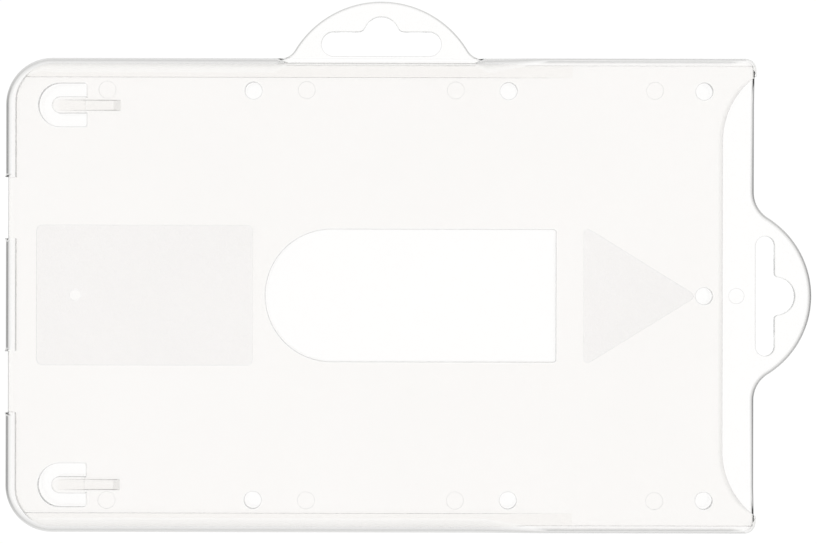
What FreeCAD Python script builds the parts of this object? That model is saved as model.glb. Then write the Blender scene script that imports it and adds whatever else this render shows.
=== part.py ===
"""Rigid clear card holder: a flat pocket for one ID-1 card, open at its right end.

A back plate carries two hanging lugs, and a front plate carries a thumb window. Side rails and an end
wall in three lengths join the two plates. Two sprung fingers, cut free of the front plate by U-shaped
slots, steady the card in its gap with the ribs under them, and flex out of a thick card's way.

Frame, in millimetres: X runs along the card's long side towards the open end, Y towards the lug on the
long side, and Z from the back face to the front face. The origin is the centre of the pocket body on the
back face.
"""

import FreeCAD
import Part
import math
import os

from FreeCAD import Vector

# The card that the pocket takes (ID-1 format).
card_length = 85.60
card_width = 53.98
card_thickness = 0.76

# The pocket round the card.
side_clearance = 0.41
end_length_spare = 2.5
gap_spare = 0.44
plate_thickness = 1.0
rail_wall = 0.8
end_wall = 1.1
closed_end_radius = 5.5
open_end_radius = 1.3

# Hanging lugs, on the back plate. Each is a circle's cap that runs into the plate's edge by root arcs.
long_lug_rise = 6.95
long_lug_radius = 12.05
long_lug_root_radius = 2.4
short_lug_rise = 6.9
short_lug_radius = 11.05
short_lug_root_radius = 3.6

# Between the long side's lug roots, the front plate's edge stands back from the lug, with a taper each end.
set_back_depth = 0.55
set_back_taper = 1.3

# Slots in the lugs for a strap clip, each with a round bay in its outer side for a hook.
slot_length = 14.3
long_slot_width = 2.9
long_slot_edge = 0.4
long_bay_radius = 2.1
long_bay_rise = 1.8
long_bay_root_radius = 0.9
short_slot_width = 2.2
short_slot_edge = 0.25
short_bay_radius = 2.25
short_bay_rise = 2.45
short_bay_root_radius = 0.5

# The front plate's open edge: a straight stretch set back from the end, and an arc out to each corner.
scoop_depth = 4.0
scoop_radius = 9.5
scoop_corner_width = 2.05

# Shallow panels sunk in the front face: a rounded rectangle, and an arrow that points out of the pocket.
panel_depth = 0.10
panel_from_end = 3.75
panel_length = 25.65
panel_width = 16.6
panel_corner_radius = 0.7
arrow_length = 13.5
arrow_half_width = 8.3
arrow_corner_radius = 0.5

# Thumb window, with a round end towards the panel and a square end towards the arrow.
window_from_panel = 1.5
window_from_arrow = 3.3
window_width = 15.7
window_corner_radius = 0.3

# Round holes in the front plate, where the mould's pins held the core: a row along each side, and one
# at the arrow's tip.
pin_hole_radius = 1.0
pin_hole_inset = 3.1
pin_hole_middle = 15.15
pin_hole_from_open_end = 6.2

# Openings in the end wall, and the notch that each leaves in the front plate's edge.
opening_near = 6.7
opening_far = 14.0
opening_notch = 0.5

# Low ledges inside the front plate that carry the card's long edges, tapered out towards the open end.
ledge_height = 0.15
ledge_reach = 1.5
ledge_from_end = 2.3
ledge_taper_from_open_end = 34.6
ledge_from_open_end = 21.8

# Sprung fingers. The slot round each is a U whose arms point towards the open end.
finger_inset = 4.84
finger_half_width = 1.0
finger_length = 4.12
finger_root_from_end = 9.64
finger_slot = 1.57
finger_slot_corner = 0.3
hinge_clearance = 0.03

# The ramp under each finger. It deepens from nothing near the finger's tip to a crest under the plate,
# which just clears a card that lies on the back plate, and a short lead-in slope ends it.
ramp_width = 1.27
ramp_card_clearance = 0.02
ramp_from_tip = 0.8
ramp_length = 6.45
ramp_lead_length = 0.85
ramp_break_clearance = 0.06

# Sizes worked out from those above.
pocket_width = card_width + 2 * side_clearance
pocket_gap = card_thickness + gap_spare
body_length = end_wall + card_length + end_length_spare
body_width = pocket_width + 2 * rail_wall
closed_end = -body_length / 2
open_end = body_length / 2
half_body = body_width / 2
half_pocket = pocket_width / 2
inner_back = plate_thickness
inner_front = inner_back + pocket_gap
front_face = inner_front + plate_thickness
pocket_end = closed_end + end_wall
through = 1.0  # how far a cutter runs past the face that it cuts
pin_hole_row = half_pocket - pin_hole_inset
tip_hole_x = open_end - pin_hole_from_open_end
panel_start = closed_end + panel_from_end
panel_end = panel_start + panel_length
arrow_tip = tip_hole_x - 0.8 * pin_hole_radius
arrow_base = arrow_tip - arrow_length
window_start = panel_end + window_from_panel
window_end = arrow_base - window_from_arrow
finger_offset = half_pocket - finger_inset
finger_root = closed_end + finger_root_from_end
finger_tip_centre = finger_root - finger_length + finger_half_width
ramp_depth = gap_spare - ramp_card_clearance
ramp_start = finger_root - finger_length + ramp_from_tip
ramp_crest = ramp_start + ramp_length


def point(x, y):
    return Vector(x, y, 0)


def on_circle(centre, radius, degrees):
    angle = math.radians(degrees)
    return (centre[0] + radius * math.cos(angle), centre[1] + radius * math.sin(angle))


def corner(centre, radius, start, end):
    """An arc of an outline, from one angle to another, as its three points."""
    return [on_circle(centre, radius, a) for a in (start, (start + end) / 2, end)]


def outline(steps):
    """A flat face from a closed list of steps: one point is a corner, and three points are an arc."""
    edges = []
    last = steps[-1][-1]
    for step in steps:
        if math.dist(last, step[0]) > 1e-7:
            edges.append(Part.LineSegment(point(*last), point(*step[0])).toShape())
        if len(step) == 3:
            edges.append(Part.Arc(*[point(*p) for p in step]).toShape())
        last = step[-1]
    return Part.Face(Part.Wire(edges))


def raised(face, low, high):
    """The solid above a flat face, between two heights."""
    solid = face.extrude(Vector(0, 0, high - low))
    solid.translate(Vector(0, 0, low))
    return solid


def placed(steps, origin, along, out):
    """Steps drawn in a lug's own directions, along the edge and out of it, moved to the plate's frame."""

    def move(p):
        return (
            origin[0] + along[0] * p[0] + out[0] * p[1],
            origin[1] + along[1] * p[0] + out[1] * p[1],
        )

    return [[move(p) for p in step] for step in steps]


def bulge(radius, rise, root):
    """A circle's cap that stands on a straight edge, with a root arc each side, as three arcs."""
    drop = radius - rise
    reach = math.sqrt((radius + root) ** 2 - (drop + root) ** 2)
    lean = math.degrees(math.atan2(drop + root, reach))
    left = (-reach, root)
    right = (reach, root)
    return [
        corner(left, root, -90, -lean),
        corner((0, -drop), radius, 180 - lean, lean),
        corner(right, root, 180 + lean, 270),
    ]


def slot_steps(width, bay):
    """A slot with round ends below the line out = 0, and a round bay above that line."""
    side = slot_length / 2 - width / 2
    middle = -width / 2
    return (
        bulge(*bay)
        + [corner((side, middle), width / 2, 90, -90)]
        + [corner((-side, middle), width / 2, 270, 90)]
    )


# Each lug's place: a point on the body's edge, the direction along the edge, and the direction outwards.
long_side = ((0, half_body), (-1, 0), (0, 1))
short_side = ((open_end, 0), (0, 1), (1, 0))
long_lug_steps = placed(bulge(long_lug_radius, long_lug_rise, long_lug_root_radius), *long_side)


def end_corners():
    """The two rounded corners at the closed end, lower and then upper."""
    x = closed_end + closed_end_radius
    y = half_body - closed_end_radius
    return (
        [corner((x, -y), closed_end_radius, 180, 270)],
        [corner((x, y), closed_end_radius, 90, 180)],
    )


def open_corners():
    """The two rounded corners at the open end, lower and then upper."""
    x = open_end - open_end_radius
    y = half_body - open_end_radius
    return (
        [corner((x, -y), open_end_radius, -90, 0)],
        [corner((x, y), open_end_radius, 0, 90)],
    )


def lug_slot(side, width, edge, bay):
    """The slot's cutter for one lug, its inner side a small distance outside the body's edge."""
    origin, along, out = side
    line = [origin[i] + out[i] * (edge + width) for i in (0, 1)]
    face = outline(placed(slot_steps(width, bay), line, along, out))
    return raised(face, -through, plate_thickness + through)


def make_back_plate():
    lower_end, upper_end = end_corners()
    lower_open, upper_open = open_corners()
    return raised(outline(lower_end + lower_open + upper_open + upper_end), 0, plate_thickness)


def make_long_side_lug():
    """The hanging lug on the back plate's long side, with its slot."""
    face = outline(long_lug_steps)
    bay = (long_bay_radius, long_bay_rise, long_bay_root_radius)
    slot = lug_slot(long_side, long_slot_width, long_slot_edge, bay)
    return raised(face, 0, plate_thickness).cut(slot)


def make_short_side_lug():
    """The hanging lug on the back plate's open end, with its slot."""
    face = outline(placed(bulge(short_lug_radius, short_lug_rise, short_lug_root_radius), *short_side))
    bay = (short_bay_radius, short_bay_rise, short_bay_root_radius)
    slot = lug_slot(short_side, short_slot_width, short_slot_edge, bay)
    return raised(face, 0, plate_thickness).cut(slot)


def end_notch(side):
    """The notch in the front plate's edge at one end-wall opening, in the order of the outline."""
    x = closed_end + opening_notch
    near, far = (side * opening_near, side * opening_far)
    first, last = (far, near) if side > 0 else (near, far)
    return [[(closed_end, first)], [(x, first)], [(x, last)], [(closed_end, last)]]


def lug_set_back():
    """The front plate's edge behind the long side's lug, from one root of the lug to the other."""
    right = long_lug_steps[0][0]
    left = long_lug_steps[-1][-1]
    y = half_body - set_back_depth
    return [[right], [(right[0] - set_back_taper, y)], [(left[0] + set_back_taper, y)], [left]]


def front_outline():
    lower_end, upper_end = end_corners()
    lower_open, upper_open = open_corners()
    centre_x = open_end - scoop_depth + scoop_radius
    turn = math.acos((scoop_radius - scoop_depth) / scoop_radius)
    centre_y = half_body - scoop_corner_width - scoop_radius * math.sin(turn)
    turn = math.degrees(turn)
    return outline(
        lower_end
        + lower_open
        + [corner((centre_x, -centre_y), scoop_radius, 180 + turn, 180)]
        + [corner((centre_x, centre_y), scoop_radius, 180, 180 - turn)]
        + upper_open
        + lug_set_back()
        + upper_end
        + end_notch(1)
        + end_notch(-1)
    )


def window_face():
    half = window_width / 2
    x = window_end - window_corner_radius
    y = half - window_corner_radius
    return outline(
        [corner((window_start + half, 0), half, 90, 270)]
        + [corner((x, -y), window_corner_radius, -90, 0)]
        + [corner((x, y), window_corner_radius, 0, 90)]
    )


def finger_slot_face(side):
    """The U-shaped slot round a finger, with small corners where its arms end."""
    centre = (finger_tip_centre, side * finger_offset)
    outer = finger_half_width + finger_slot
    x = finger_root - finger_slot_corner
    far = outer - finger_slot_corner
    y = centre[1]
    return outline(
        [corner(centre, outer, 90, 270)]
        + [corner((x, y - far), finger_slot_corner, -90, 0)]
        + [[(finger_root, y - finger_half_width)]]
        + [corner(centre, finger_half_width, 270, 90)]
        + [[(finger_root, y + finger_half_width)]]
        + [corner((x, y + far), finger_slot_corner, 0, 90)]
    )


def hinge_bar(side, radius, half_width):
    """A round bar along a finger's hinge line, at the middle of the front plate's thickness."""
    start = Vector(finger_root, side * finger_offset - half_width, inner_front + plate_thickness / 2)
    return Part.makeCylinder(radius, 2 * half_width, start, Vector(0, 1, 0))


def hinge_seat(side):
    """The hollow in the front plate that a finger's rounded root turns in."""
    return hinge_bar(side, plate_thickness / 2 + hinge_clearance, finger_half_width + hinge_clearance)


def panel_face():
    centre_x = (panel_start + panel_end) / 2
    half_length = panel_length / 2 - panel_corner_radius
    half_width = panel_width / 2 - panel_corner_radius
    places = ((1, -1, -90), (1, 1, 0), (-1, 1, 90), (-1, -1, 180))
    return outline(
        [
            corner(
                (centre_x + i * half_length, j * half_width),
                panel_corner_radius,
                start,
                start + 90,
            )
            for i, j, start in places
        ]
    )


def arrow_face():
    """A triangle with rounded corners, its tip towards the open end."""
    tip = math.degrees(math.atan2(arrow_half_width, arrow_tip - arrow_base))
    r = arrow_corner_radius
    inset = r / math.tan(math.radians(45 - tip / 2))
    tip_inset = r / math.sin(math.radians(tip))
    base_x = arrow_base + r
    base_y = arrow_half_width - inset
    return outline(
        [corner((base_x, -base_y), r, 180, 270 + tip)]
        + [corner((arrow_tip - tip_inset, 0), r, tip - 90, 90 - tip)]
        + [corner((base_x, base_y), r, 90 - tip, 180)]
    )


def make_front_plate():
    plate = raised(front_outline(), inner_front, front_face)
    low = inner_front - through
    high = front_face + through
    cutters = [raised(window_face(), low, high)]
    columns = (-pin_hole_middle, pin_hole_middle, tip_hole_x)
    places = [(x, y) for x in columns for y in (-pin_hole_row, pin_hole_row)]
    for x, y in places + [(tip_hole_x, 0)]:
        cutters.append(Part.makeCylinder(pin_hole_radius, high - low, Vector(x, y, low)))
    for side in (-1, 1):
        cutters.append(raised(finger_slot_face(side), low, high))
        cutters.append(finger_prism(side, low, high))
        cutters.append(hinge_seat(side))
    for face in (panel_face(), arrow_face()):
        cutters.append(raised(face, front_face - panel_depth, high))
    return plate.cut(cutters)


def finger_prism(side, low, high):
    """A finger's outline between two heights, from its rounded tip to the hinge line."""
    y = side * finger_offset
    face = outline(
        [corner((finger_tip_centre, y), finger_half_width, 90, 270)]
        + [[(finger_root, y - finger_half_width)], [(finger_root, y + finger_half_width)]]
    )
    return raised(face, low, high)


def side_profile(points, y, width):
    """A solid of one XZ profile, its width centred on y."""
    corners = [Vector(x, y - width / 2, z) for x, z in points]
    face = Part.Face(Part.makePolygon(corners + corners[:1]))
    return face.extrude(Vector(0, width, 0))


def ramp_height(x):
    """How far the ramp stands below the front plate's inner face at x."""
    return ramp_depth * (x - ramp_start) / ramp_length


def make_finger(side):
    """A finger: the tongue, its rounded root, and the ramp's first stretch under it."""
    tongue = finger_prism(side, inner_front, front_face)
    root = hinge_bar(side, plate_thickness / 2, finger_half_width)
    ramp = side_profile(
        [
            (ramp_start, inner_front),
            (finger_root, inner_front - ramp_height(finger_root)),
            (finger_root, inner_front),
        ],
        side * finger_offset,
        ramp_width,
    )
    return tongue.fuse([root, ramp]).removeSplitter()


def make_lead_ramp(side):
    """The ramp's fixed stretch on the front plate, up to its crest and down the lead-in slope."""
    start = finger_root + plate_thickness / 2 + ramp_break_clearance
    return side_profile(
        [
            (start, inner_front),
            (start, inner_front - ramp_height(start)),
            (ramp_crest, inner_front - ramp_depth),
            (ramp_crest + ramp_lead_length, inner_front),
        ],
        side * finger_offset,
        ramp_width,
    )


def pocket_room():
    """The room between the walls, with the closed end's rounded inner corners."""
    radius = closed_end_radius - end_wall
    x = pocket_end + radius
    y = half_pocket - radius
    face = outline(
        [corner((x, -y), radius, 180, 270)]
        + [[(open_end, -half_pocket)], [(open_end, half_pocket)]]
        + [corner((x, y), radius, 90, 180)]
    )
    return raised(face, inner_back, inner_front)


def make_ledge(side):
    """A low ledge along a rail, rounded off at the closed end where the wall turns its corner."""
    y = side * (half_pocket - ledge_reach / 2)
    start = closed_end + ledge_from_end
    ledge = side_profile(
        [
            (start, inner_front),
            (start, inner_front - ledge_height),
            (open_end - ledge_taper_from_open_end, inner_front - ledge_height),
            (open_end - ledge_from_open_end, inner_front),
        ],
        y,
        ledge_reach,
    )
    return ledge.common(pocket_room())


def make_rail(side):
    """A side rail between the plates, from the closed end's corner to the open end's corner."""
    start = closed_end + closed_end_radius
    x = open_end - open_end_radius
    width = min(rail_wall, open_end_radius)
    lean = math.degrees(math.asin(1 - width / open_end_radius))
    turn = corner((x, half_body - open_end_radius), open_end_radius, lean, 90)
    steps = [[(start, half_pocket)], [(turn[0][0], half_pocket)], turn, [(start, half_body)]]
    rail = raised(outline(steps), inner_back, inner_front)
    return rail if side > 0 else rail.mirror(Vector(0, 0, 0), Vector(0, 1, 0))


def make_end_corner(side):
    """The end wall's outer length on one side, with the rounded corner that meets the rail."""
    inner_radius = closed_end_radius - end_wall
    x = closed_end + closed_end_radius
    outer = corner((x, half_body - closed_end_radius), closed_end_radius, 90, 180)
    inner = corner((x, half_pocket - inner_radius), inner_radius, 180, 90)
    face = outline([outer, [(closed_end, opening_far)], [(pocket_end, opening_far)], inner])
    wall = raised(face, inner_back, inner_front)
    return wall if side > 0 else wall.mirror(Vector(0, 0, 0), Vector(0, 1, 0))


def make_end_middle():
    size = (end_wall, 2 * opening_near, pocket_gap)
    return Part.makeBox(*size, Vector(closed_end, -opening_near, inner_back))


def build():
    nodes = {
        "back_plate": make_back_plate(),
        "long_side_lug": make_long_side_lug(),
        "short_side_lug": make_short_side_lug(),
        "front_plate": make_front_plate(),
        "end_wall_middle": make_end_middle(),
    }
    for name, side in (("upper", 1), ("lower", -1)):
        nodes[name + "_side_rail"] = make_rail(side)
        nodes["end_wall_" + name] = make_end_corner(side)
        nodes[name + "_card_ledge"] = make_ledge(side)
        nodes[name + "_lead_ramp"] = make_lead_ramp(side)
        nodes[name + "_finger"] = make_finger(side)
    return nodes


os.makedirs("parts", exist_ok=True)
for name, shape in build().items():
    shape.exportStep("parts/" + name + ".step")
    print(f"{name}: {len(shape.Solids)} solid, {shape.Volume:.2f} mm3, valid {shape.isValid()}")
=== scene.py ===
"""A rigid clear card holder, lying on its back and seen from straight above.

One clear moulding holds the card, and two sprung fingers cut from its front plate steady it. Lengths in this
file are in millimetres until a mesh is made, and then in metres.
"""

from math import atan2, degrees, radians, sqrt

import bpy
import numpy as np
from mathutils.geometry import tessellate_polygon
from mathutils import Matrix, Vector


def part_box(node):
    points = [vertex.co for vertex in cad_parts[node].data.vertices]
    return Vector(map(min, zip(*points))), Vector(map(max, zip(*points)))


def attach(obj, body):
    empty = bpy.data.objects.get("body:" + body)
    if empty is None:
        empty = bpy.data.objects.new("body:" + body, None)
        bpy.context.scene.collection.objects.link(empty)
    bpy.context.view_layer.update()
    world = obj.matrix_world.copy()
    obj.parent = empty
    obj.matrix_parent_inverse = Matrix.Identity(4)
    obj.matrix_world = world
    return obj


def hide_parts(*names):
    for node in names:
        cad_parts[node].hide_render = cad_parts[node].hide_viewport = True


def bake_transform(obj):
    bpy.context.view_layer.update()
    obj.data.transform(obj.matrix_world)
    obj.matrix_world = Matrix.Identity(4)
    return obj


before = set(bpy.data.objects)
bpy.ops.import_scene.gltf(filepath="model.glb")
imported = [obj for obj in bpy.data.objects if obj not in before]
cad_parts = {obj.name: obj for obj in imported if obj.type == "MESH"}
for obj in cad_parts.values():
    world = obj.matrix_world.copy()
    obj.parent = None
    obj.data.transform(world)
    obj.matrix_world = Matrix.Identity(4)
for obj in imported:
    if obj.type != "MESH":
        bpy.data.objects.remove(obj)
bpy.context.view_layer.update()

metre = 0.001


# ---- The clear moulding -------------------------------------------------------------------------------
# The real holder is one shot of clear plastic: a back plate with two hanging lugs, rails and an end wall,
# and a front plate with a thumb window. A core slides out of its open end to leave the pocket, and the
# pins that steadied the core leave the round holes in the front plate.


def corners_of(node):
    """The lowest and highest corners of a node's box, in millimetres."""
    return [np.array(corner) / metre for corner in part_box(node)]


back_low, back_high = corners_of("back_plate")
front_low, front_high = corners_of("front_plate")
wall_low, wall_high = corners_of("end_wall_upper")
middle_high = corners_of("end_wall_middle")[1]
long_lug_high = corners_of("long_side_lug")[1]
short_lug_high = corners_of("short_side_lug")[1]

closed_end = back_low[0]
open_end = back_high[0]
half_body = back_high[1]
half_pocket = corners_of("upper_side_rail")[0][1]
pocket_end = middle_high[0]
floor_top = back_high[2]
ceiling = front_low[2]
face = front_high[2]

closed_radius = wall_high[0] - closed_end
inner_radius = closed_radius - (pocket_end - closed_end)
open_radius = 1.3
opening_near = middle_high[1]
opening_far = wall_low[1]
opening_notch = 0.5
long_lug_radius = 12.05
short_lug_radius = 11.05
long_lug_root = 2.4
short_lug_root = 3.6
slot_length = 14.3
long_slot_width = 2.9
long_slot_edge = 0.4
long_bay = (2.1, 1.8, 0.9)
short_slot_width = 2.2
short_slot_edge = 0.25
short_bay = (2.25, 2.45, 0.5)
scoop_depth = 4.0
scoop_radius = 9.5
scoop_corner_width = 2.05

# Roundings of the edges, and the flat strip beside each, which keeps the shading of the wide faces level.
support = 0.06
rail_round = 1.7
end_round = 0.8
gap_round = 0.06
gap_ease = 0.4
ear_round = 0.4
front_drop = 0.85
back_round = 0.6
corner_round = 0.3
open_edge_round = 0.4
long_lug_round = 0.3
short_lug_round = 0.52
hole_round = 0.12
scoop_round = 0.04
seam_round = 0.01
lug_face_round = 0.42
rounding_fade = 0.6

# The bevel under the front plate's open edge, which leads the card in.
lead_in = 0.62
lead_in_rise = 0.2
lead_in_fade = 2.0


def arc(centre, radius, start, end, steps=20):
    """Points of an arc: the centre plus the radius times the cosine and sine of evenly spaced angles."""
    angle = np.radians(np.linspace(start, end, steps + 1))
    return np.array(centre) + radius * np.stack([np.cos(angle), np.sin(angle)], axis=1)


def loop_of(*stretches):
    """A closed loop of (points, edge radius) stretches laid end to end, with repeated points left out."""
    points = np.concatenate([np.atleast_2d(p) for p, _ in stretches])
    rounds = np.concatenate([np.full(len(np.atleast_2d(p)), r, float) for p, r in stretches])
    new = np.linalg.norm(points - np.roll(points, 1, axis=0), axis=1) > 1e-6
    return points[new], rounds[new]


def inset(points, distance):
    """Each point moved to the left of the loop's run, by distance along the mitre of its two edges."""
    edge = np.roll(points, -1, axis=0) - points
    edge /= np.linalg.norm(edge, axis=1, keepdims=True)
    left = np.stack([-edge[:, 1], edge[:, 0]], axis=1)
    before = np.roll(left, 1, axis=0)
    mitre = (left + before) / (1 + np.sum(left * before, axis=1, keepdims=True))
    return points + mitre * np.broadcast_to(distance, len(points))[:, None]


def ring(points, distance, height):
    """A loop at a height, moved in by a distance: three columns, x, y and z."""
    moved = inset(points, distance)
    return np.column_stack([moved, np.broadcast_to(height, len(points))])


def rounded_up(points, radius, top, drop=None, steps=6):
    """Rings of a quarter ellipse at an upper edge: in by radius(1 - cos a), and down by drop(1 - sin a).
    Where the radius is no more than a seam's, the rings after the first are one, which leaves a bevel."""
    angles = np.linspace(0, np.pi / 2, steps + 1)
    drop = radius if drop is None else drop
    bevel = np.asarray(radius) <= seam_round
    rings = []
    for a in angles:
        turned_in = np.where(bevel, a > 0, 1 - np.cos(a))
        turned_down = np.where(bevel, a == 0, 1 - np.sin(a))
        rings.append(ring(points, radius * turned_in, top - drop * turned_down))
    return rings + [ring(points, radius + support * np.minimum(radius / hole_round, 1), top)]


def rounded_down(points, radius, bottom):
    """Rings of a quarter round at a lower edge: the upper edge's rings, turned over."""
    return [r * (1, 1, -1) for r in reversed(rounded_up(points, radius, -bottom))]


class Skin:
    """Faces gathered for one closed mesh, each with its finish, and welded where their corners meet."""

    def __init__(self):
        self.corners = []
        self.count = 0
        self.faces = []
        self.finishes = []

    def add(self, corners, faces, finish):
        """Faces of four corners, or of three with one repeated, and one finish or one for each face."""
        self.corners.append(corners)
        self.faces.append(faces + self.count)
        self.finishes.append(np.broadcast_to(finish, len(faces)))
        self.count += len(corners)

    def band(self, rings, finish=0):
        """Quads between one ring and the next, for rings that rise on the material's right-hand side."""
        n = len(rings[0])
        row = np.arange(n)
        following = np.roll(row, -1)
        quad = np.stack([row, following, following + n, row + n], axis=1)
        faces = (quad[None] + n * np.arange(len(rings) - 1)[:, None, None]).reshape(-1, 4)
        finish = np.broadcast_to(finish, (len(rings) - 1, n)).ravel()
        self.add(np.concatenate(rings), faces, finish)

    def cap(self, loops, up=True, finish=0):
        """Flat triangles that fill the first loop and leave the others open."""
        corners = np.concatenate(loops)
        triangles = np.array(tessellate_polygon([[tuple(p) for p in loop] for loop in loops]))
        a, b, c = (corners[triangles[:, i], :2] for i in range(3))
        area = np.sum((b - a)[:, 0] * (c - a)[:, 1] - (b - a)[:, 1] * (c - a)[:, 0])
        triangles = triangles if (area > 0) == up else triangles[:, ::-1]
        self.add(corners, triangles[:, [0, 1, 2, 2]], finish)

    def strips(self, loop, tip, up=True, finish=0):
        """Quads straight across a loop that is its own mirror image about its point numbered tip."""
        row = np.arange(tip, tip + len(loop) // 2)
        quad = np.stack([row, row + 1, 2 * tip - row - 1, 2 * tip - row], axis=1) % len(loop)
        self.add(loop, quad if up else quad[:, ::-1], finish)

    def mesh(self, name, finishes, sharp=25):
        """The welded mesh, in metres, smooth except across edges sharper than an angle."""
        corners = np.concatenate(self.corners)
        _, first, same = np.unique(
            np.round(corners / 1e-4).astype(np.int64), axis=0, return_index=True, return_inverse=True
        )
        welded = same.ravel()[np.concatenate(self.faces)]
        own = welded != np.roll(welded, -1, axis=1)
        size = own.sum(axis=1)
        own[size < 3] = False
        size, finish = (values[size > 2] for values in (size, np.concatenate(self.finishes)))
        mesh = bpy.data.meshes.new(name)
        mesh.vertices.add(len(first))
        mesh.vertices.foreach_set("co", (corners[first] * metre).ravel())
        mesh.loops.add(own.sum())
        mesh.loops.foreach_set("vertex_index", welded[own])
        mesh.polygons.add(len(size))
        mesh.polygons.foreach_set("loop_start", np.cumsum(size) - size)
        for material in finishes:
            mesh.materials.append(material)
        mesh.polygons.foreach_set("material_index", finish)
        mesh.polygons.foreach_set("use_smooth", np.ones(len(size), bool))
        mesh.update(calc_edges=True)
        mesh.set_sharp_from_angle(angle=radians(sharp))
        return mesh


def show(mesh):
    """An object of its own for a mesh, at the origin."""
    piece = bpy.data.objects.new(mesh.name, mesh)
    bpy.context.scene.collection.objects.link(piece)
    return piece


def bulge(radius, rise, root):
    """A circle's cap on a straight edge with a root arc each side, in the edge's own (along, out)."""
    drop = radius - rise
    reach = sqrt((radius + root) ** 2 - (drop + root) ** 2)
    lean = degrees(atan2(drop + root, reach))
    return [
        arc((-reach, root), root, -90, -lean, 14),
        arc((0, -drop), radius, 180 - lean, lean, 64),
        arc((reach, root), root, 180 + lean, 270, 14),
    ]


def turned(stretches, origin, along, out):
    """Stretches in (along, out) moved to the plate: origin plus each part times its direction."""
    return [np.array(origin) + s[:, :1] * np.array(along) + s[:, 1:] * np.array(out) for s in stretches]


def lug_slot(origin, along, out, width, bay):
    """A strap slot with round ends below its outer line, and a round bay above it."""
    side = slot_length / 2 - width / 2
    steps = bulge(*bay) + [
        arc((side, -width / 2), width / 2, 90, -90),
        arc((-side, -width / 2), width / 2, 270, 90),
    ]
    return loop_of(*[(s, 0) for s in turned(steps, origin, along, out)])[0][::-1]


long_side = ((0, half_body), (-1, 0), (0, 1))
short_side = ((open_end, 0), (0, 1), (1, 0))
long_slot_line = (0, half_body + long_slot_edge + long_slot_width)
long_slot = lug_slot(long_slot_line, *long_side[1:], long_slot_width, long_bay)
short_slot_line = (open_end + short_slot_edge + short_slot_width, 0)
short_slot = lug_slot(short_slot_line, *short_side[1:], short_slot_width, short_bay)
long_bulge = turned(bulge(long_lug_radius, long_lug_high[1] - half_body, long_lug_root), *long_side)
short_bulge = turned(bulge(short_lug_radius, short_lug_high[0] - open_end, short_lug_root), *short_side)
long_roots = np.array([long_bulge[0][0], long_bulge[-1][-1]])

# Between the long lug's roots the front plate's edge stands back from the outline.
set_back = 0.55
set_back_round = 0.3
set_back_ease = 1.3
set_back_ends = long_roots + [(-set_back_ease, 0), (set_back_ease, 0)]
# The rails' wide rounding narrows between the lug's root and a little further towards the open end.
narrowed = long_roots[0] + (7.6, 0)
rail_stop = (open_end - open_radius - 1.5, half_body)
upper_points = np.array([rail_stop, narrowed, long_roots[0], *set_back_ends, long_roots[1]])
lower_points = upper_points[2::-1] * (1, -1)
# The open edge's own rounding starts a little way in from each corner.
open_edge = half_body - open_radius - 4.0

lean = degrees(np.arcsin(1 - (half_body - half_pocket) / open_radius))
lower_closed = arc((closed_end + closed_radius, closed_radius - half_body), closed_radius, 180, 270)
upper_closed = lower_closed[::-1] * (1, -1)
open_centre = np.array((open_end - open_radius, half_body - open_radius))
upper_open_end = arc(open_centre, open_radius, 0, lean, 4)
upper_open_rail = arc(open_centre, open_radius, lean, 90, 10)
lower_open_rail = upper_open_rail[::-1] * (1, -1)
lower_open_end = upper_open_end[::-1] * (1, -1)
upper_inner = arc((pocket_end + inner_radius, half_pocket - inner_radius), inner_radius, 90, 180)
lower_inner = upper_inner[::-1] * (1, -1)
notch_x = closed_end + opening_notch


def end_points(x_list, y):
    """Points at one y and at each x of a list."""
    return np.array([(x, y) for x in x_list])


# Where the end wall is cut for the openings, its edges are sharper, and they ease into the wall's rounding.
eased_far = opening_far + gap_ease
eased_near = opening_near - gap_ease
end_line = [(eased_far, back_round), (opening_far, gap_round)]
end_line += [(opening_near, gap_round), (eased_near, back_round)]
end_line += [(-y, r) for y, r in reversed(end_line)]

back_loop, back_rounds = loop_of(
    (lower_closed, back_round),
    (lower_points, back_round),
    (lower_open_rail, corner_round),
    (lower_open_end, corner_round),
    (end_points([open_end], scoop_corner_width - half_body), corner_round),
    (end_points([open_end], -open_edge), open_edge_round),
    *[(s, short_lug_round) for s in short_bulge],
    (end_points([open_end], open_edge), open_edge_round),
    (end_points([open_end], half_body - scoop_corner_width), corner_round),
    (upper_open_end, corner_round),
    (upper_open_rail, corner_round),
    (upper_points[:2], back_round),
    *[(s, long_lug_round) for s in long_bulge],
    (upper_closed, back_round),
    *[(end_points([closed_end], y), r) for y, r in end_line],
)
# The lugs' front edges are rounded too, and the rounding fades out where a rail stands on the plate.
from_middle = np.abs(back_loop[:, 1])
past_rail = np.clip((back_loop[:, 1] - half_body) / rounding_fade, 0, 1)
past_end = np.clip((half_body - open_radius - from_middle) / rounding_fade, 0, 1)
past_end *= back_loop[:, 0] > open_end - 1e-6
lug_edge = np.minimum(back_rounds, lug_face_round) * np.maximum(past_rail, past_end)
lug_edge[np.isclose(from_middle, half_body - scoop_corner_width) & (past_end > 0)] = seam_round


def side_wall(rail_points):
    """The upper rail with its corner and length of end wall, and points where a lug's outline meets it."""
    return loop_of(
        (upper_open_rail, 0),
        (rail_points, 0),
        (upper_closed, 0),
        (end_points([closed_end], eased_far), 0),
        (end_points([closed_end, notch_x, pocket_end], opening_far), 0),
        (upper_inner[::-1], 0),
    )[0]


upper_wall = side_wall(upper_points)
lower_wall = side_wall(upper_points[:3])[::-1] * (1, -1)
middle_wall, _ = loop_of(
    (end_points([closed_end], opening_near), 0),
    (end_points([closed_end], eased_near), 0),
    (end_points([closed_end], -eased_near), 0),
    (end_points([closed_end, notch_x, pocket_end], -opening_near), 0),
    (end_points([pocket_end, notch_x], opening_near), 0),
)

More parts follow.
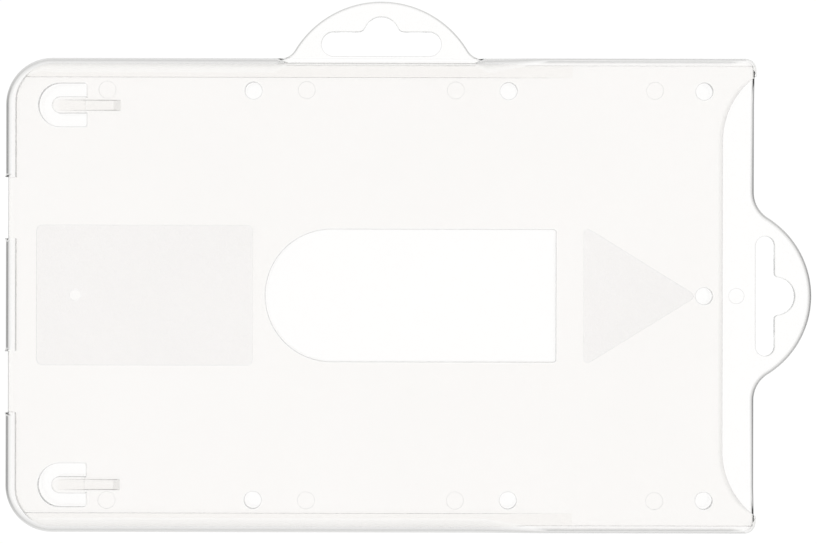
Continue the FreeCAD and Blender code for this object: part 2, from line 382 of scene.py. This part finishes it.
turn = np.arccos((scoop_radius - scoop_depth) / scoop_radius)
scoop_y = half_body - scoop_corner_width - scoop_radius * np.sin(turn)
scoop_x = open_end - scoop_depth + scoop_radius
upper_scoop = arc((scoop_x, scoop_y), scoop_radius, 180, 180 - degrees(turn), 24)
lower_scoop = upper_scoop[::-1] * (1, -1)
notches = [
    (end_points([closed_end], eased_far), end_round),
    (end_points([closed_end, notch_x], opening_far), gap_round),
    (end_points([notch_x, closed_end], opening_near), gap_round),
    (end_points([closed_end], eased_near), end_round),
    (end_points([closed_end], -eased_near), end_round),
    (end_points([closed_end, notch_x], -opening_near), gap_round),
    (end_points([notch_x, closed_end], -opening_far), gap_round),
    (end_points([closed_end], -eased_far), end_round),
]
front_loop, front_rounds = loop_of(
    (lower_closed, rail_round),
    (lower_points[0], rail_round),
    (lower_points[1:], ear_round),
    (lower_open_rail, ear_round),
    (lower_open_end, ear_round),
    (lower_scoop, scoop_round),
    (upper_scoop, scoop_round),
    (upper_open_end, ear_round),
    (upper_open_rail, ear_round),
    (upper_points[:2], ear_round),
    (long_roots[0], rail_round),
    (set_back_ends, set_back_round),
    (long_roots[1], rail_round),
    (upper_closed, rail_round),
    *notches,
)
on_scoop = np.isclose(front_rounds, scoop_round)
# The rounding is wide along the rails and narrow across the end wall, and changes round the corners.
round_corner = np.clip((front_loop[:, 0] - closed_end) / closed_radius, 0, 1)
front_rounds = np.where(
    (front_loop[:, 0] < closed_end + closed_radius) & (front_rounds > gap_round),
    end_round + (rail_round - end_round) * round_corner,
    front_rounds,
)


def circle(x, y, radius, steps=32):
    """A hole's loop: a full circle run clockwise, so that the material is on its left."""
    return arc((x, y), radius, 360, 0, steps)[:-1]


pin_radius = 1.0
tip_hole_x = open_end - 6.2
pin_row = half_pocket - 3.1
pin_holes = [circle(x, y, pin_radius) for x in (-15.15, 15.15, tip_hole_x) for y in (-pin_row, pin_row)]
pin_holes.append(circle(tip_hole_x, 0, pin_radius))

panel_start = closed_end + 3.75
panel_end = panel_start + 25.65
panel_half = 8.3
arrow_tip = tip_hole_x - 0.85
arrow_base = tip_hole_x - 14.3
arrow_half = 8.3
window_start = panel_end + 1.5
window_end = arrow_base - 3.3
window_half = 7.85
cut_corner = 0.3

window, _ = loop_of(
    (arc((window_end - cut_corner, window_half - cut_corner), cut_corner, 90, 0, 4), 0),
    (arc((window_end - cut_corner, cut_corner - window_half), cut_corner, 0, -90, 4), 0),
    (arc((window_start + window_half, 0), window_half, 270, 90, 64), 0),
)


def panel_loop():
    """The rectangle: four corner arcs, run clockwise."""
    r = 0.7
    x, y = (panel_end - panel_start) / 2 - r, panel_half - r
    middle = (panel_start + panel_end) / 2
    quarters = ((1, 1, 90), (1, -1, 0), (-1, -1, -90), (-1, 1, 180))
    return loop_of(*[(arc((middle + i * x, j * y), r, a, a - 90, 8), 0) for i, j, a in quarters])[0]


def arrow_loop():
    """The arrow: an isosceles triangle with its three corners rounded, run clockwise."""
    r = 0.5
    half_tip = degrees(atan2(arrow_half, arrow_tip - arrow_base))
    base_y = arrow_half - r / np.tan(radians(45 - half_tip / 2))
    tip_x = arrow_tip - r / np.sin(radians(half_tip))
    turns = [
        arc((tip_x, 0), r, 90 - half_tip, half_tip - 90, 10),
        arc((arrow_base + r, -base_y), r, 270 + half_tip, 180, 10),
        arc((arrow_base + r, base_y), r, 180, 90 - half_tip, 10),
    ]
    return loop_of(*[(s, 0) for s in turns])[0]


finger_y = half_pocket - 4.84
finger_root = closed_end + 9.64
finger_half = 1.0
finger_length = 4.12
finger_centre = finger_root - finger_length + finger_half
finger_slot = 1.57


def join_finish(rounds):
    """The joined face's finish where both ends of an edge have the seam's rounding, or else polished."""
    seam = (rounds == seam_round) & (np.roll(rounds, -1) == seam_round)
    return np.where(seam, joined, polished)


def finger_hole(side):
    """The U-shaped slot and the finger's own place in it, as one hole run clockwise."""
    outer = finger_half + finger_slot
    y = side * finger_y
    half_seam = finger_half - hole_round
    return loop_of(
        (arc((finger_root - cut_corner, y + outer - cut_corner), cut_corner, 90, 0, 4), hole_round),
        ((finger_root, y + finger_half), hole_round),
        (end_points([finger_root], y + half_seam), seam_round),
        (end_points([finger_root], y - half_seam), seam_round),
        ((finger_root, y - finger_half), hole_round),
        (arc((finger_root - cut_corner, y - outer + cut_corner), cut_corner, 0, -90, 4), hole_round),
        (arc((finger_centre, y), outer, 270, 90, 28), hole_round),
    )


# Finishes of the moulding, by number: polished, the front plate's fine texture, the etched panels, the
# outline, where the thick edges of the walls that face the ends are painted grey as shade, and the face where
# a finger joins the plate.
polished, textured, etched, outline, joined = range(5)
skin = Skin()


def outline_finish(points):
    """The outline's finish with its painted grey edge shade, but polished on the scoop, at the open corners
    and in the end wall's gaps.
    """
    x, y = ((points + np.roll(points, -1, axis=0)) / 2).T
    gap = (x < pocket_end) & (np.abs(y) > opening_near) & (np.abs(y) < opening_far)
    scoop = (x < open_end - 0.1) & (x > open_end - scoop_depth - 0.1) & (np.abs(y) < half_body - 0.1)
    corner = (x > open_end - open_radius) & (np.abs(y) > half_body - scoop_corner_width)
    return np.where(gap | scoop | corner, polished, outline)


def level(points, height):
    """A loop at a height, with no inset."""
    return np.column_stack([points, np.full(len(points), height)])


def nearest(points, place):
    """The number of the loop's point nearest to a place."""
    return int(np.argmin(np.linalg.norm(points[:, :2] - place, axis=1)))


def stretch(points, start, end):
    """A loop's points from the one nearest start to the one nearest end."""
    return points[nearest(points, start) : nearest(points, end) + 1]


def pierce(points, radius, low, high, finish=polished):
    """A hole through a plate, both edges rounded. Returns its lower and upper rims for the caps."""
    rings = rounded_down(points, radius, low) + rounded_up(points, radius, high)
    skin.band(rings, finish)
    return rings[0], rings[-1]


def sink(points, depth, top, radius, finish, inner=()):
    """A shallow recess in an upper face, with its own floor. Returns its rim for the cap."""
    rings = [level(points, top - depth)] + rounded_up(points, radius, top)
    skin.band(rings)
    skin.cap([rings[0], *inner], finish=finish)
    return rings[-1]


# The back plate: rounded lower edge all round, and lugs with rounded upper edges too.
back_lower = rounded_down(back_loop, back_rounds, 0.0)
back_upper = rounded_up(back_loop, lug_edge, floor_top)
skin.band(back_lower + back_upper, outline_finish(back_loop))
slot_rims = [pierce(slot, hole_round, 0.0, floor_top) for slot in (long_slot, short_slot)]
skin.cap([back_lower[0]] + [low for low, _ in slot_rims], up=False)

# The long side's lug, whose face stops at the rail.
lug_face = stretch(back_upper[-1], long_roots[0], long_roots[1])
skin.cap([np.concatenate([lug_face, level(set_back_ends[::-1], floor_top)]), slot_rims[0][1]])

# The pocket's floor, with the round marks of the pins that pushed the moulding off its mould.
rail_end = upper_open_rail[0]
floor_right = stretch(back_upper[-1], rail_end * (1, -1), rail_end)
floor_left, _ = loop_of(
    (upper_inner, 0),
    (end_points([pocket_end, notch_x, closed_end], opening_far), 0),
    (end_points([closed_end, notch_x, pocket_end], opening_near), 0),
    (end_points([pocket_end, notch_x, closed_end], -opening_near), 0),
    (end_points([closed_end, notch_x, pocket_end], -opening_far), 0),
    (lower_inner, 0),
)
pocket_floor = np.concatenate([floor_right, level(floor_left, floor_top)])
mark_row = half_pocket - 2.9
mark_depth = 0.09
mark_round = 0.08
marks = [circle(x, y, pin_radius) for x in (-32.7, -8.9, 8.9, 32.7) for y in (-mark_row, mark_row)]
marks.append(circle(open_end - 2.1, 0, 0.9))
mark_rims = [sink(mark, mark_depth, floor_top, mark_round, polished) for mark in marks]
skin.cap([pocket_floor, slot_rims[1][1]] + mark_rims)

# The rails and the end wall's three lengths.
for points in (upper_wall, lower_wall, middle_wall):
    skin.band([level(points, floor_top), level(points, ceiling)])

# The front plate. The bevel under its open edge rises as the square of the way along it, behind a flat strip.
lead = lead_in * on_scoop * np.clip((open_end - front_loop[:, 0]) / lead_in_fade, 0, 1)
lead_top = ceiling + lead * lead_in_rise / lead_in
front_rings = [ring(front_loop, 1.1 * lead, ceiling)]
for s in np.linspace(0, 1, 5):
    front_rings.append(ring(front_loop, lead * (1 - s), ceiling + (lead_top - ceiling) * s**2))
setting_back = set_back * np.isin(front_loop, set_back_ends).all(axis=1)
front_edge = inset(front_loop, setting_back)
front_rings.append(ring(front_edge, 0, lead_top))
front_rings += rounded_up(front_edge, front_rounds, face, np.minimum(front_rounds, front_drop), 10)
skin.band(front_rings, outline_finish(front_loop))
ceiling_left, _ = loop_of(
    (upper_inner, 0),
    (end_points([pocket_end, notch_x], opening_far), 0),
    (end_points([notch_x, pocket_end], opening_near), 0),
    (end_points([pocket_end, notch_x], -opening_near), 0),
    (end_points([notch_x, pocket_end], -opening_far), 0),
    (lower_inner, 0),
)
ceiling_right = stretch(front_rings[0], rail_end * (1, -1), rail_end)
pocket_ceiling = np.concatenate([ceiling_right, level(ceiling_left, ceiling)])
hole_rims = [pierce(hole, hole_round, ceiling, face) for hole in (window, *pin_holes)]
for points, rounds in (finger_hole(1), finger_hole(-1)):
    hole_rims.append(pierce(points, rounds, ceiling, face, join_finish(rounds)))
skin.cap([pocket_ceiling] + [low for low, _ in hole_rims], up=False)

# The two etched panels, and the gate's dimple in the rectangle, where the plastic flowed in.
panel_depth = 0.1
panel_round = 0.04
gate_depth = 0.1
gate_rim = sink(circle(panel_start + 4.55, 0, 0.65), gate_depth, face - panel_depth, 0.02, polished)
panel_rims = [
    sink(panel_loop(), panel_depth, face, panel_round, etched, inner=[gate_rim]),
    sink(arrow_loop(), panel_depth, face, panel_round, etched),
]
skin.cap([front_rings[-1]] + [high for _, high in hole_rims] + panel_rims, finish=textured)


def surface_group():
    """The surface of the moulding, as a node group: its grain, its roughness, and a clear colour that drifts
    a little with the flow of the plastic. Where the surface turns over an edge the colour deepens into
    painted shade, and an edge that faces one of the object's long sides has a painted shade of its own."""
    group = bpy.data.node_groups.new("moulded surface and painted edge shade", "ShaderNodeTree")
    for name in ("Grain size", "Grain height", "Roughness low", "Roughness high"):
        group.interface.new_socket(name, in_out="INPUT", socket_type="NodeSocketFloat")
    for name in ("Clear colour", "Deep colour", "End edge painted shade", "Side edge painted shade"):
        group.interface.new_socket(name, in_out="INPUT", socket_type="NodeSocketColor")
    group.interface.new_socket("Colour", in_out="OUTPUT", socket_type="NodeSocketColor")
    group.interface.new_socket("Roughness", in_out="OUTPUT", socket_type="NodeSocketFloat")
    group.interface.new_socket("Height", in_out="OUTPUT", socket_type="NodeSocketFloat")
    nodes, links = group.nodes, group.links
    inputs, outputs = nodes.new("NodeGroupInput"), nodes.new("NodeGroupOutput")
    place = nodes.new("ShaderNodeTexCoord")
    grain = nodes.new("ShaderNodeTexNoise")
    grain.inputs["Detail"].default_value = 2.0
    links.new(place.outputs["Object"], grain.inputs["Vector"])
    links.new(inputs.outputs["Grain size"], grain.inputs["Scale"])
    # The flow's drift is broad: about one swirl in 20 mm.
    flow = nodes.new("ShaderNodeTexNoise")
    flow.inputs["Scale"].default_value = 45.0
    flow.inputs["Detail"].default_value = 3.0
    links.new(place.outputs["Object"], flow.inputs["Vector"])
    rough = nodes.new("ShaderNodeMapRange")
    links.new(flow.outputs["Fac"], rough.inputs["Value"])
    links.new(inputs.outputs["Roughness low"], rough.inputs["To Min"])
    links.new(inputs.outputs["Roughness high"], rough.inputs["To Max"])
    links.new(rough.outputs["Result"], outputs.inputs["Roughness"])
    drift = nodes.new("ShaderNodeMix")
    drift.data_type = "RGBA"
    links.new(flow.outputs["Fac"], drift.inputs["Factor"])
    links.new(inputs.outputs["Clear colour"], drift.inputs[6])
    links.new(inputs.outputs["Deep colour"], drift.inputs[7])
    # A face is level where its normal's Z is 1, and from 0.8 down it counts as an edge and takes the painted
    # edge shade.
    upright = nodes.new("ShaderNodeSeparateXYZ")
    links.new(place.outputs["Normal"], upright.inputs["Vector"])
    flat = nodes.new("ShaderNodeMath")
    flat.operation = "ABSOLUTE"
    links.new(upright.outputs["Z"], flat.inputs[0])
    edge = nodes.new("ShaderNodeMapRange")
    edge.inputs["From Min"].default_value = 1.0
    edge.inputs["From Max"].default_value = 0.8
    links.new(flat.outputs["Value"], edge.inputs["Value"])
    # The normal's Y says how far an edge faces a long side, and so which of the two painted edge shades it
    # takes.
    sideways = nodes.new("ShaderNodeMath")
    sideways.operation = "ABSOLUTE"
    links.new(upright.outputs["Y"], sideways.inputs[0])
    facing = nodes.new("ShaderNodeMix")
    facing.data_type = "RGBA"
    links.new(sideways.outputs["Value"], facing.inputs["Factor"])
    links.new(inputs.outputs["End edge painted shade"], facing.inputs[6])
    links.new(inputs.outputs["Side edge painted shade"], facing.inputs[7])
    # Painted shade: the colour is mixed towards the edge shade where the surface turns over an edge.
    painted_edge_shade = nodes.new("ShaderNodeMix")
    painted_edge_shade.data_type = "RGBA"
    links.new(edge.outputs["Result"], painted_edge_shade.inputs["Factor"])
    links.new(drift.outputs[2], painted_edge_shade.inputs[6])
    links.new(facing.outputs[2], painted_edge_shade.inputs[7])
    links.new(painted_edge_shade.outputs[2], outputs.inputs["Colour"])
    height = nodes.new("ShaderNodeMath")
    height.operation = "MULTIPLY_ADD"
    links.new(grain.outputs["Fac"], height.inputs[0])
    links.new(inputs.outputs["Grain height"], height.inputs[1])
    links.new(flow.outputs["Fac"], height.inputs[2])
    links.new(height.outputs["Value"], outputs.inputs["Height"])
    return group


surface_with_edge_shade = surface_group()


def clear_plastic(name, clear, deep, edges, roughness, grain_size, grain_height, bump):
    """Clear plastic: all transmission, its surface from the surface group. Its edges take a pair of painted
    shade colours, for edges that face the ends and the long sides."""
    material = bpy.data.materials.new(name)
    material.use_nodes = True
    nodes, links = material.node_tree.nodes, material.node_tree.links
    shader = nodes["Principled BSDF"]
    shader.inputs["Transmission Weight"].default_value = 1.0
    shader.inputs["Metallic"].default_value = 0.0
    shader.inputs["IOR"].default_value = 1.50
    surface = nodes.new("ShaderNodeGroup")
    surface.node_tree = surface_with_edge_shade
    surface.inputs["Grain size"].default_value = grain_size
    surface.inputs["Grain height"].default_value = grain_height
    surface.inputs["Roughness low"].default_value = roughness[0]
    surface.inputs["Roughness high"].default_value = roughness[1]
    surface.inputs["Clear colour"].default_value = (*clear, 1.0)
    surface.inputs["Deep colour"].default_value = (*deep, 1.0)
    # The two painted edge shades: for edges that face the ends and for edges that face the long sides.
    surface.inputs["End edge painted shade"].default_value = (*edges[0], 1.0)
    surface.inputs["Side edge painted shade"].default_value = (*edges[1], 1.0)
    relief = nodes.new("ShaderNodeBump")
    relief.inputs["Strength"].default_value = bump
    relief.inputs["Distance"].default_value = 0.0001
    links.new(surface.outputs["Height"], relief.inputs["Height"])
    links.new(relief.outputs["Normal"], shader.inputs["Normal"])
    links.new(surface.outputs["Roughness"], shader.inputs["Roughness"])
    links.new(surface.outputs["Colour"], shader.inputs["Base Color"])
    return material


# Painted shade on the edges of the clear plastic: pale on every edge of most finishes, and on the outline
# dark grey where the edges face the ends and pale where they face the long sides.
pale_edge_shades = [(0.68, 0.68, 0.67)] * 2
grey_edge_shades = [(0.10, 0.10, 0.10), (0.70, 0.70, 0.69)]
water_clear = ((0.980, 0.976, 0.970), (0.974, 0.969, 0.961))
clear_polished = clear_plastic(
    "clear polished plastic", *water_clear, pale_edge_shades,
    (0.01, 0.04), 700.0, 0.1, 0.02,
)
clear_textured = clear_plastic(
    "clear textured plastic", (0.962, 0.946, 0.933), (0.953, 0.936, 0.921), pale_edge_shades,
    (0.10, 0.18), 2500.0, 1.0, 0.15,
)
clear_etched = clear_plastic(
    "clear etched plastic", (0.956, 0.937, 0.932), (0.947, 0.927, 0.921), pale_edge_shades,
    (0.30, 0.40), 5000.0, 1.5, 0.3,
)
clear_grey_shaded_edges = clear_plastic(
    "clear plastic with painted grey edge shade", *water_clear, grey_edge_shades,
    (0.01, 0.04), 700.0, 0.1, 0.02,
)


def joined_plastic():
    """The face where a finger and the plate are one plastic: light goes straight through it."""
    material = bpy.data.materials.new("clear plastic, joined")
    material.use_nodes = True
    shader = material.node_tree.nodes["Principled BSDF"]
    shader.inputs["Transmission Weight"].default_value = 1.0
    shader.inputs["Base Color"].default_value = (1.0, 1.0, 1.0, 1.0)
    shader.inputs["Roughness"].default_value = 0.0
    shader.inputs["IOR"].default_value = 1.0
    return material


finishes = [clear_polished, clear_textured, clear_etched, clear_grey_shaded_edges, joined_plastic()]
shell = show(skin.mesh("clear_moulding", finishes))
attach(shell, "holder")
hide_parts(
    "back_plate", "long_side_lug", "short_side_lug", "front_plate",
    "upper_side_rail", "lower_side_rail", "end_wall_upper", "end_wall_middle", "end_wall_lower",
)


# ---- Card ledges --------------------------------------------------------------------------------------
# A low ledge runs inside the front plate along each rail, so that the card slides on two narrow tracks.
# It is moulded with the plate, and it tapers out towards the open end so that the core can slide out.

embed = 0.02  # how far a ledge or a rib runs into the plate or the rail that it is moulded on
ledge_taper_start = 10.0
ledge_round = 0.6  # the rounding of the ledge's free edge, as a part of its height


def bar(x, sides):
    """A bar along x: a cross-section loop of (y, z) at each station, and its middle to close each end."""
    middle = sides[[0, -1]].mean(axis=1, keepdims=True) * np.ones((1, sides.shape[1], 1))
    sides = np.concatenate([middle[:1], sides, middle[1:]])
    x = np.concatenate([x[:1], x, x[-1:]])
    along = np.broadcast_to(x[:, None, None], (*sides.shape[:2], 1))
    part = Skin()
    part.band(list(np.concatenate([along, sides], axis=2)))
    return part


def ledge(side):
    """The ledge's cross-section is a flat bar, its outer side on the rail or on the corner's inner arc."""
    low, high = corners_of("upper_card_ledge")
    drop = ceiling - low[2]
    corner_start = pocket_end + inner_radius
    x = np.concatenate([
        np.linspace(low[0], corner_start, 12),
        np.linspace(-30, ledge_taper_start, 5),
        np.linspace(ledge_taper_start + 2, high[0], 8),
    ])
    from_centre = np.clip(corner_start - x, 0, inner_radius)
    outer = half_pocket - inner_radius + np.sqrt(inner_radius**2 - from_centre**2) + embed
    inner = np.full(len(x), low[1])
    taper = np.clip((high[0] - x) / (high[0] - ledge_taper_start), 0.02, 1)
    bottom = ceiling - drop * taper
    turn = np.radians(np.linspace(0, 90, 5))
    r = ledge_round * drop * taper
    y = inner[:, None] + r[:, None] * (1 - np.cos(turn))
    z = bottom[:, None] + r[:, None] * (1 - np.sin(turn))
    flat = (inner + r + support)[:, None]
    top = np.full((len(x), 1), ceiling + embed)
    y = np.concatenate([inner[:, None], y, flat, outer[:, None], outer[:, None]], axis=1)
    z = np.concatenate([top, z, bottom[:, None], bottom[:, None], top], axis=1)
    sides = np.stack([y * side, z], axis=2)
    if side < 0:
        sides = sides[:, ::-1]
    return x, sides


for name, side in (("upper", 1), ("lower", -1)):
    strip = show(bar(*ledge(side)).mesh(name + "_ledge", [clear_polished]))
    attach(strip, "holder")
    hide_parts(name + "_card_ledge")


# ---- Sprung fingers -----------------------------------------------------------------------------------
# Each finger is a tongue of the front plate, cut free on three sides by its U-shaped slot. One rib runs under
# it and on under the plate, deeper and deeper to a crest that steadies the card, with a lead-in slope.

rib_half = 0.635
rib_from_tip = 0.8
rib_length = 6.45
rib_slope = 0.85
rib_depth = 0.42
rib_end_depth = 0.01
rib_round = 0.18
root_gap = 0.01


def tongue(side, part):
    """The tongue: a straight-sided tab with a round tip, its edges rounded like the slot's."""
    y = side * finger_y
    root = finger_root - root_gap
    half_seam = finger_half - hole_round
    tip_steps = 24
    length = np.linspace(finger_centre, root, 19)[1:]
    lower, upper = (np.column_stack([length, np.full(len(length), y + i * finger_half)]) for i in (-1, 1))
    points, rounds = loop_of(
        (arc((finger_centre, y), finger_half, 90, 270, tip_steps), hole_round),
        (lower, hole_round),
        (end_points([root], y - half_seam), seam_round),
        (end_points([root], y + half_seam), seam_round),
        (upper[::-1], hole_round),
    )
    rings = rounded_down(points, rounds, ceiling) + rounded_up(points, rounds, face)
    part.band(rings, join_finish(rounds))
    part.strips(rings[0], tip_steps // 2, up=False)
    part.strips(rings[-1], tip_steps // 2, finish=textured)


def rib(side):
    """The rib deepens in a straight line from near the tongue's tip to its crest, then a slope ends it."""
    tip = finger_root - finger_length + rib_from_tip
    crest = tip + rib_length
    x = np.concatenate([np.linspace(tip, crest, 32), np.linspace(crest, crest + rib_slope, 6)[1:]])
    depth = np.interp(x, [tip, crest, crest + rib_slope], [rib_end_depth, rib_depth, rib_end_depth])
    turn = np.radians(np.linspace(0, 90, 6))
    r = np.minimum(rib_round, 0.5 * depth)[:, None]
    y = rib_half - r * (1 - np.cos(turn))
    z = ceiling - depth[:, None] + r * (1 - np.sin(turn))
    top = np.full((len(x), 1), ceiling + embed)
    edge = np.full((len(x), 1), rib_half)
    y = np.concatenate([edge, y, -y[:, ::-1], -edge], axis=1) + side * finger_y
    z = np.concatenate([top, z, z[:, ::-1], top], axis=1)
    return x, np.stack([y, z], axis=2)[:, ::-1]


for name, side in (("upper", 1), ("lower", -1)):
    part = bar(*rib(side))
    tongue(side, part)
    finger = show(part.mesh(name + "_sprung_finger", finishes))
    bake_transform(finger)
    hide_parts(name + "_finger", name + "_lead_ramp")


# ---- Table, light and camera --------------------------------------------------------------------------
# The holder lies on a white light table under a soft overhead light, seen from straight above.


def pale_floor():
    """A light table's diffuser: it glows evenly and hardly reflects."""
    material = bpy.data.materials.new("pale table")
    material.use_nodes = True
    shader = material.node_tree.nodes["Principled BSDF"]
    shader.inputs["Base Color"].default_value = (0.05, 0.05, 0.05, 1.0)
    shader.inputs["Roughness"].default_value = 0.9
    shader.inputs["Specular IOR Level"].default_value = 0.0
    shader.inputs["Emission Color"].default_value = (1.0, 1.0, 1.0, 1.0)
    shader.inputs["Emission Strength"].default_value = 1.0
    return material


reach = 3.0
table_top = -2e-5
table_corners = [(-reach, -reach), (reach, -reach), (reach, reach), (-reach, reach)]
table = bpy.data.meshes.new("table")
table.from_pydata([(x, y, table_top) for x, y in table_corners], [], [(0, 1, 2, 3)])
table.materials.append(pale_floor())
show(table)

world = bpy.data.worlds.new("studio")
world.use_nodes = True
world.node_tree.nodes["Background"].inputs["Color"].default_value = (1.0, 1.0, 1.0, 1.0)
world.node_tree.nodes["Background"].inputs["Strength"].default_value = 0.4
bpy.context.scene.world = world

softbox = bpy.data.objects.new("softbox", bpy.data.lights.new("softbox", "AREA"))
softbox.data.size = 0.7
softbox.data.energy = 1.1
softbox.location = (-0.1, 0.15, 0.8)
bpy.context.scene.collection.objects.link(softbox)

# The camera stands over the middle of the whole outline, lugs included, turned by a touch.
view_x, view_y, view_height = 3.3, 2.8, 317.0
camera_turn = 0.12
camera = bpy.data.objects.new("camera", bpy.data.cameras.new("camera"))
camera.data.lens = 116.5
camera.data.sensor_width = 36.0
camera.data.clip_start = 0.01
camera.location = (view_x * metre, view_y * metre, view_height * metre)
camera.rotation_euler = (0, 0, radians(camera_turn))
bpy.context.scene.collection.objects.link(camera)
bpy.context.scene.camera = camera
bpy.context.scene.view_settings.view_transform = "Standard"
